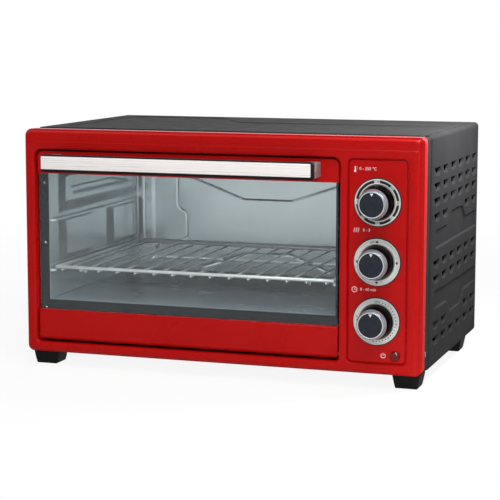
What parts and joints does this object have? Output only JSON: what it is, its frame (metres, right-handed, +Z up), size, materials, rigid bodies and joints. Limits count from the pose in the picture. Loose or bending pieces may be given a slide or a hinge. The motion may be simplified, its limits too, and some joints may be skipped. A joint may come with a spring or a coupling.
{
  "type": "electric oven",
  "caption": "Box-shaped table-top electric oven with a drop-down glass door, a bar handle, a wire rack and a column of rotary controls on the right.",
  "frame": {"origin": "centre of the bounding box in X and Y, on the surface the feet stand on", "axes": "+X to the right seen from the front, +Y from the door to the rear panel, +Z up; the door faces -Y"},
  "size_m": [0.48, 0.345, 0.2815],
  "materials": {
    "shell_enamel": "satin",
    "zinc_sheet": "satin",
    "red_enamel": "gloss",
    "frame_steel": "satin",
    "cavity_steel": "satin",
    "heater_tube": "satin",
    "rack_wire": "gloss",
    "dial_plate": "satin",
    "knob_black": "gloss",
    "knob_chrome": "gloss",
    "knob_face": "gloss",
    "shaft_steel": "satin",
    "switchgear": "matte",
    "timer_case": "satin",
    "bell_steel": "gloss",
    "lamp_red": "gloss",
    "black_plastic": "matte",
    "terminal": "matte",
    "door_glass": "gloss",
    "handle_steel": "satin",
    "handle_post": "satin",
    "hinge_steel": "satin"
  },
  "bodies": {
    "cabinet": {"outer_shell": "shell_enamel", "rear_panel": "shell_enamel", "bottom_plate": "zinc_sheet", "control_bracket": "zinc_sheet", "front_bezel": "red_enamel", "control_fascia": "red_enamel", "front_frame": "frame_steel", "cavity_left_wall": "cavity_steel", "cavity_right_wall": "cavity_steel", "cavity_rear_wall": "cavity_steel", "cavity_roof": "cavity_steel", "cavity_floor": "cavity_steel", "heater_upper_front": "heater_tube", "heater_upper_rear": "heater_tube", "heater_lower_front": "heater_tube", "heater_lower_rear": "heater_tube", "dial_temperature": "dial_plate", "dial_function": "dial_plate", "dial_timer": "dial_plate", "thermostat": "switchgear", "function_switch": "switchgear", "timer_mechanism": "timer_case", "timer_bell": "bell_steel", "lamp_lens": "lamp_red", "lamp_holder": "black_plastic", "cord_gland": "black_plastic", "foot_front_left": "black_plastic", "foot_front_right": "black_plastic", "foot_rear_left": "black_plastic", "foot_rear_right": "black_plastic", "terminal_block": "terminal", "hinge_pin_left": "hinge_steel", "hinge_pin_right": "hinge_steel", "hinge_bracket_left": "hinge_steel", "hinge_bracket_right": "hinge_steel", "shell_screw_left": "hinge_steel", "shell_screw_right": "hinge_steel"},
    "door": {"door_glass": "door_glass", "door_top_rail": "red_enamel", "door_bottom_rail": "red_enamel", "handle_bar": "black_plastic", "handle_plate": "handle_steel", "handle_post_left": "handle_post", "handle_post_right": "handle_post", "door_stay_left": "hinge_steel", "door_stay_right": "hinge_steel"},
    "rack": {"wire_rack": "rack_wire"},
    "knob_temperature": {"knob_skirt_temperature": "knob_black", "knob_cap_temperature": "knob_chrome", "knob_face_temperature": "knob_face", "shaft_temperature": "shaft_steel"},
    "knob_function": {"knob_skirt_function": "knob_black", "knob_cap_function": "knob_chrome", "knob_face_function": "knob_face", "shaft_function": "shaft_steel"},
    "knob_timer": {"knob_skirt_timer": "knob_black", "knob_cap_timer": "knob_chrome", "knob_face_timer": "knob_face", "shaft_timer": "shaft_steel"}
  },
  "joints": [
    {"name": "door_hinge", "type": "hinge", "parent": "cabinet", "child": "door", "pos_m": [-0.03985, -0.1345, 0.0365], "axis": [1, 0, 0], "range_deg": [0, 85]},
    {"name": "rack_slide", "type": "slide", "parent": "cabinet", "child": "rack", "axis": [0, -1, 0], "range_m": [0, 0.12]},
    {"name": "knob_temperature_turn", "type": "hinge", "parent": "cabinet", "child": "knob_temperature", "pos_m": [0.189, -0.1435, 0.2098], "axis": [0, 1, 0], "range_deg": [0, 270]},
    {"name": "knob_function_turn", "type": "hinge", "parent": "cabinet", "child": "knob_function", "pos_m": [0.189, -0.1435, 0.1435], "axis": [0, 1, 0], "range_deg": [0, 270]},
    {"name": "knob_timer_turn", "type": "hinge", "parent": "cabinet", "child": "knob_timer", "pos_m": [0.189, -0.1435, 0.0772], "axis": [0, 1, 0], "range_deg": [0, 300]}
  ],
  "couplings": [
    {"joint": "rack_slide", "follows": "door_hinge", "m_per_rad": 0.08}
  ]
}
